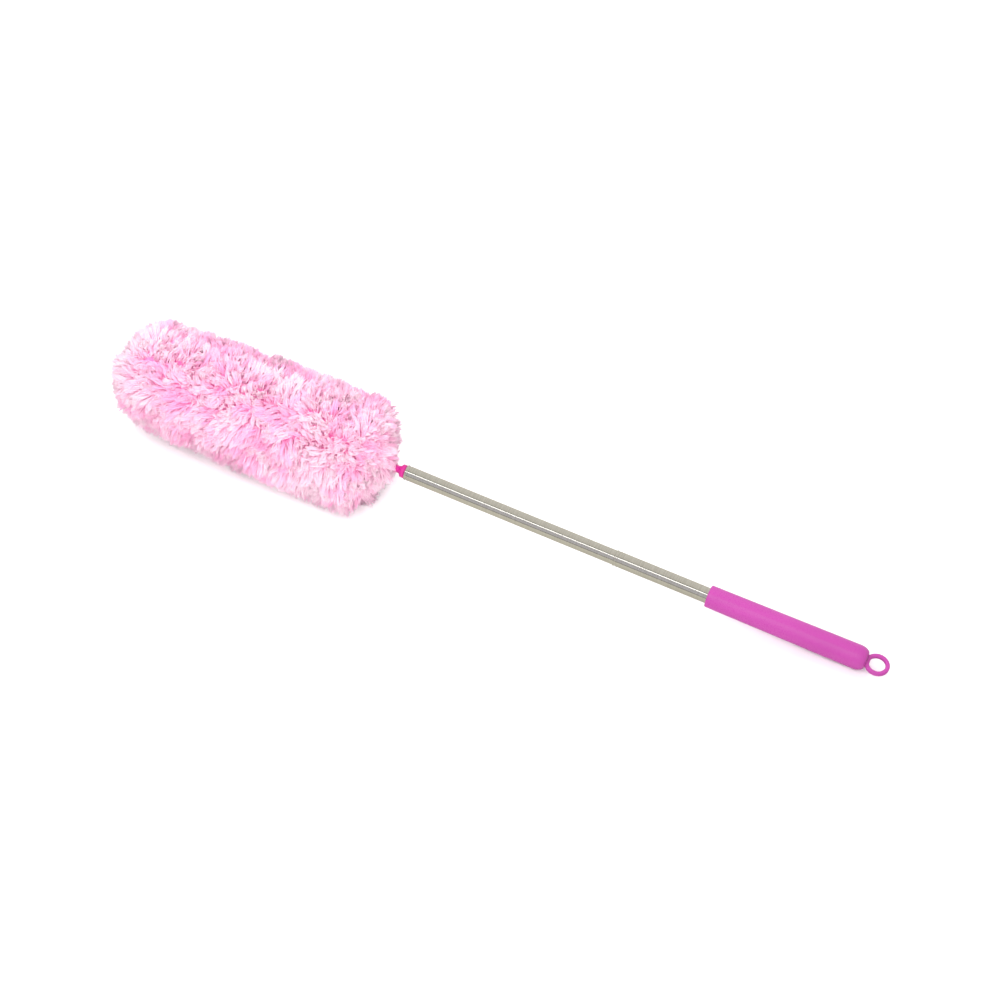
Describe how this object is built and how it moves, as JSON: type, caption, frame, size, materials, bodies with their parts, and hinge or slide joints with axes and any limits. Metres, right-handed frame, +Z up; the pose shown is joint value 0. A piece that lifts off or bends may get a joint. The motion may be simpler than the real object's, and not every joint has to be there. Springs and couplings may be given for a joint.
{
  "type": "feather duster",
  "caption": "Telescopic microfibre feather duster: plush pile head on a twisted wire core, steel pole that slides and turns, moulded handle with a hanging ring.",
  "frame": {"origin": "middle of the base of the bounding box, on the plane that the duster lies on", "axes": "+X from the pile head towards the hanging ring, +Z up, +Y completes the right-handed frame; the pole's own axis leans 4.3 degrees down towards +X, because the pile holds the head end higher than the back of the handle"},
  "size_m": [0.74, 0.112, 0.1125],
  "materials": {
    "handle_plastic": "satin",
    "polished_steel": "polished",
    "spring_brass": "satin",
    "plug_plastic": "satin",
    "galvanised_wire": "satin",
    "pile_fibre": "matte"
  },
  "bodies": {
    "handle": {"handle_grip": "handle_plastic", "outer_tube": "polished_steel"},
    "middle_liner": {"middle_shim_upper": "spring_brass", "middle_shim_lower": "spring_brass"},
    "middle_section": {"middle_tube": "polished_steel"},
    "inner_liner": {"inner_shim_upper": "spring_brass", "inner_shim_lower": "spring_brass"},
    "head": {"inner_tube": "polished_steel", "neck_plug": "plug_plastic", "core_wire_a": "galvanised_wire", "core_wire_b": "galvanised_wire", "core_tip_cap": "plug_plastic", "pile": "pile_fibre"}
  },
  "joints": [
    {"name": "middle_slide", "type": "slide", "parent": "handle", "child": "middle_liner", "axis": [0.9972, 0, -0.0749], "range_m": [0, 0.194]},
    {"name": "middle_turn", "type": "hinge", "parent": "middle_liner", "child": "middle_section", "pos_m": [0.13132, 0, 0.02654], "axis": [0.9972, 0, -0.0749], "continuous": true},
    {"name": "inner_slide", "type": "slide", "parent": "middle_section", "child": "inner_liner", "axis": [-0.9972, 0, 0.0749], "range_m": [0, 0.185]},
    {"name": "inner_turn", "type": "hinge", "parent": "inner_liner", "child": "head", "pos_m": [-0.08606, 0, 0.04288], "axis": [-0.9972, 0, 0.0749], "continuous": true}
  ]
}
